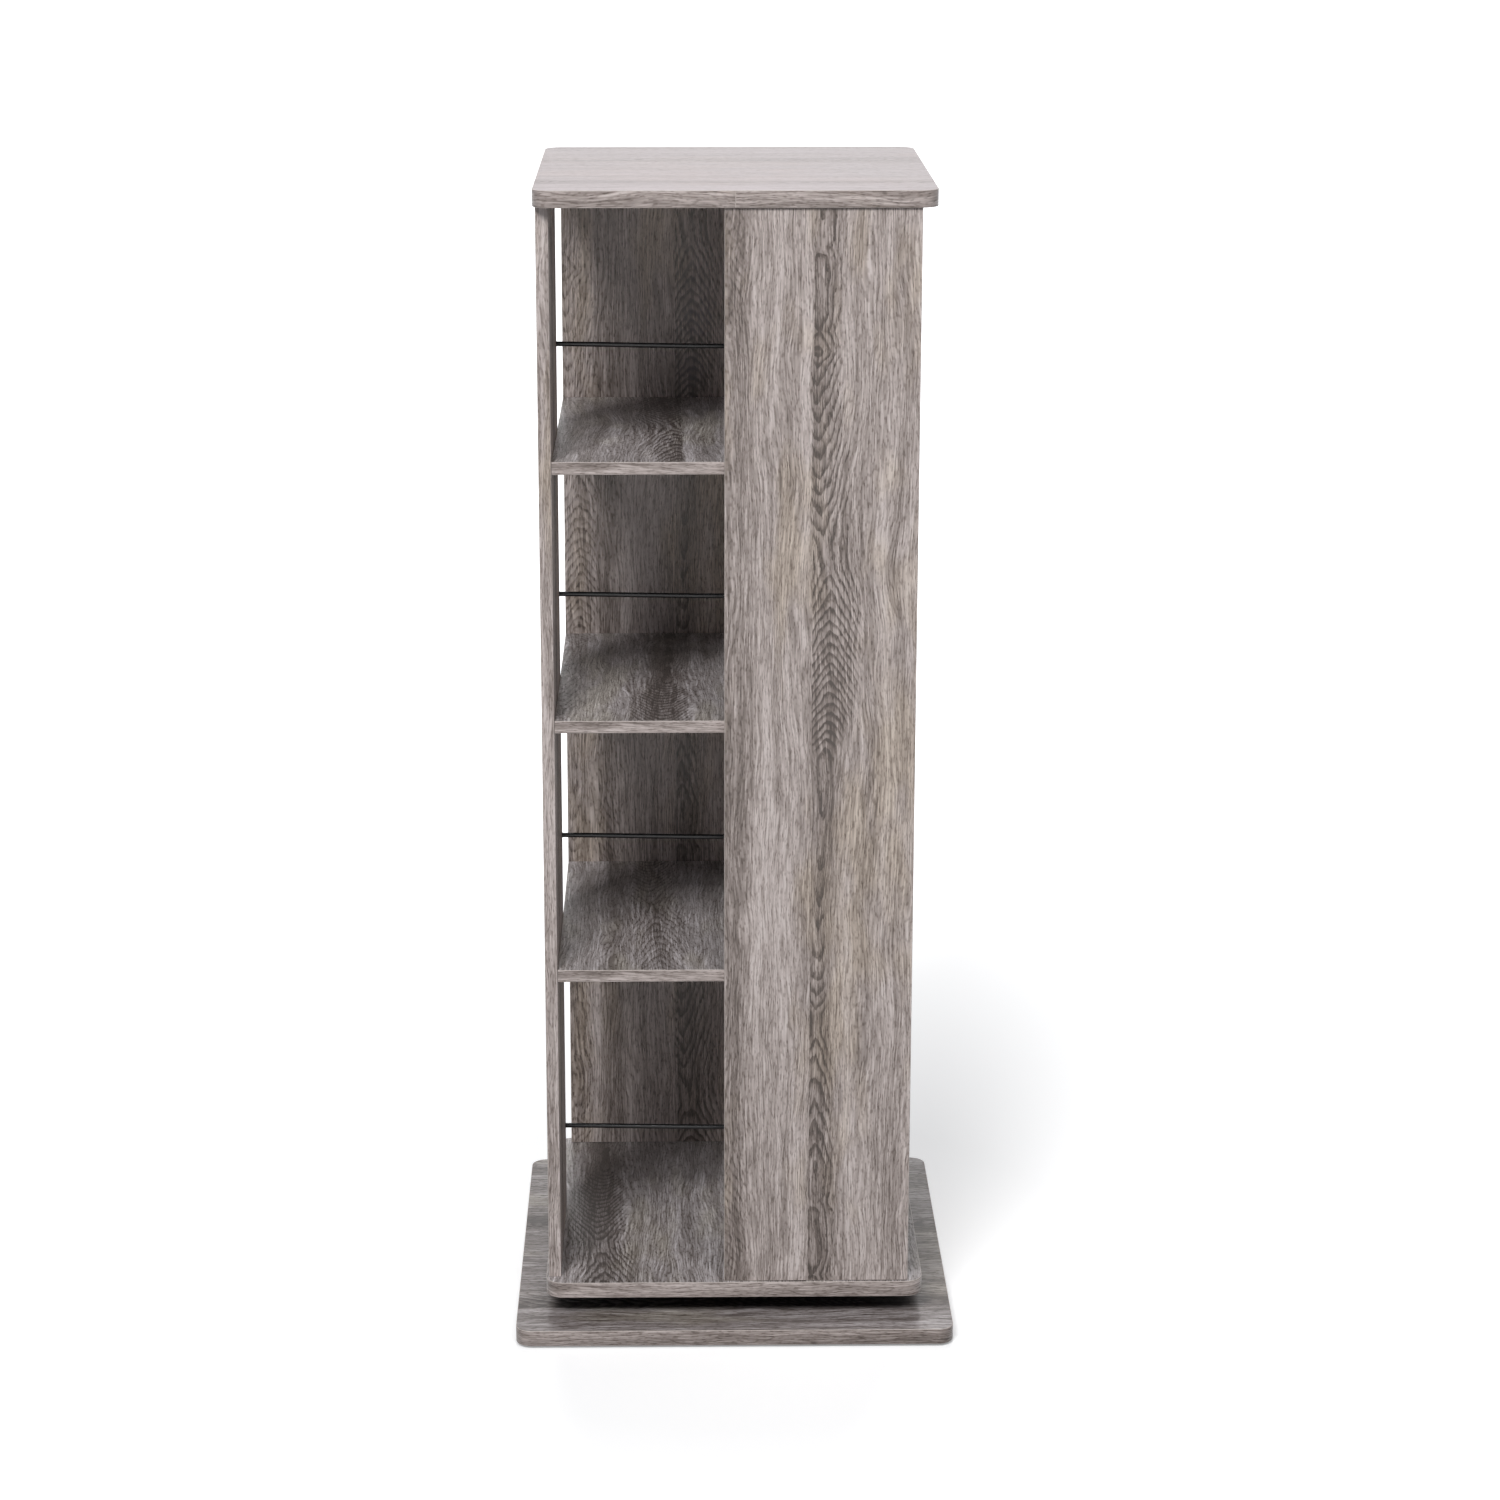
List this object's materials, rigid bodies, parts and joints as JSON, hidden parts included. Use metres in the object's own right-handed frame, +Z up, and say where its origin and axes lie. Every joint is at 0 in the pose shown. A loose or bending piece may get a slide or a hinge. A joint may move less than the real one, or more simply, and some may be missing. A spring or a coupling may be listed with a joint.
{
  "type": "rotating media tower",
  "caption": "Square shelf tower with four side panels in a pinwheel, open bays with crossing rods on every side, turning on a ball bearing over a square base.",
  "frame": {"origin": "on the floor, under the middle of the square base", "axes": "+Z up along the axis that the tower turns on; -Y towards the viewer of the picture, whose side shows the front panel on its right half; +X to that viewer's right"},
  "size_m": [0.447, 0.447, 1.174],
  "materials": {
    "oak_laminate": "weathered grey oak print under a low-sheen laminate, with matching edge band",
    "black_board": "fibreboard painted matt black",
    "black_rod": "satin black powder coat",
    "zinc_plated_steel": "bright zinc plate",
    "cast_zinc": "raw zinc die casting",
    "black_plastic": "matt black moulded plastic"
  },
  "bodies": {
    "base": {"base_plate": "oak_laminate", "bearing_lower_plate": "zinc_plated_steel", "base_glide_1": "black_plastic", "base_glide_2": "black_plastic", "base_glide_3": "black_plastic", "base_glide_4": "black_plastic", "lower_plate_screw_1": "zinc_plated_steel", "lower_plate_screw_2": "zinc_plated_steel", "lower_plate_screw_3": "zinc_plated_steel", "lower_plate_screw_4": "zinc_plated_steel"},
    "ball_ring": {"bearing_ball_ring": "zinc_plated_steel"},
    "tower": {"bottom_panel": "oak_laminate", "top_panel": "oak_laminate", "shelf_lower": "oak_laminate", "shelf_middle": "oak_laminate", "shelf_upper": "oak_laminate", "side_panel_front": "oak_laminate", "side_panel_right": "oak_laminate", "side_panel_back": "oak_laminate", "side_panel_left": "oak_laminate", "turntable_block": "black_board", "rod_1_side_to_side": "black_rod", "rod_1_front_to_back": "black_rod", "rod_2_side_to_side": "black_rod", "rod_2_front_to_back": "black_rod", "rod_3_side_to_side": "black_rod", "rod_3_front_to_back": "black_rod", "rod_4_side_to_side": "black_rod", "rod_4_front_to_back": "black_rod", "bearing_upper_plate": "zinc_plated_steel", "upper_plate_screw_1": "zinc_plated_steel", "block_screw_1": "zinc_plated_steel", "upper_plate_screw_2": "zinc_plated_steel", "block_screw_2": "zinc_plated_steel", "upper_plate_screw_3": "zinc_plated_steel", "block_screw_3": "zinc_plated_steel", "upper_plate_screw_4": "zinc_plated_steel", "block_screw_4": "zinc_plated_steel", "panel_screw_front": "zinc_plated_steel", "cam_lock_lower_front": "cast_zinc", "cam_lock_middle_front": "cast_zinc", "cam_lock_upper_front": "cast_zinc", "cam_lock_top_front": "cast_zinc", "panel_screw_right": "zinc_plated_steel", "cam_lock_lower_right": "cast_zinc", "cam_lock_middle_right": "cast_zinc", "cam_lock_upper_right": "cast_zinc", "cam_lock_top_right": "cast_zinc", "panel_screw_back": "zinc_plated_steel", "cam_lock_lower_back": "cast_zinc", "cam_lock_middle_back": "cast_zinc", "cam_lock_upper_back": "cast_zinc", "cam_lock_top_back": "cast_zinc", "panel_screw_left": "zinc_plated_steel", "cam_lock_lower_left": "cast_zinc", "cam_lock_middle_left": "cast_zinc", "cam_lock_upper_left": "cast_zinc", "cam_lock_top_left": "cast_zinc"}
  },
  "joints": [
    {"name": "tower_spin", "type": "hinge", "parent": "base", "child": "tower", "pos_m": [0, 0, 0.0247], "axis": [0, 0, 1], "continuous": true},
    {"name": "ball_ring_spin", "type": "hinge", "parent": "base", "child": "ball_ring", "pos_m": [0, 0, 0.02435], "axis": [0, 0, 1], "continuous": true}
  ],
  "couplings": [
    {"joint": "ball_ring_spin", "follows": "tower_spin", "ratio": 0.5}
  ]
}
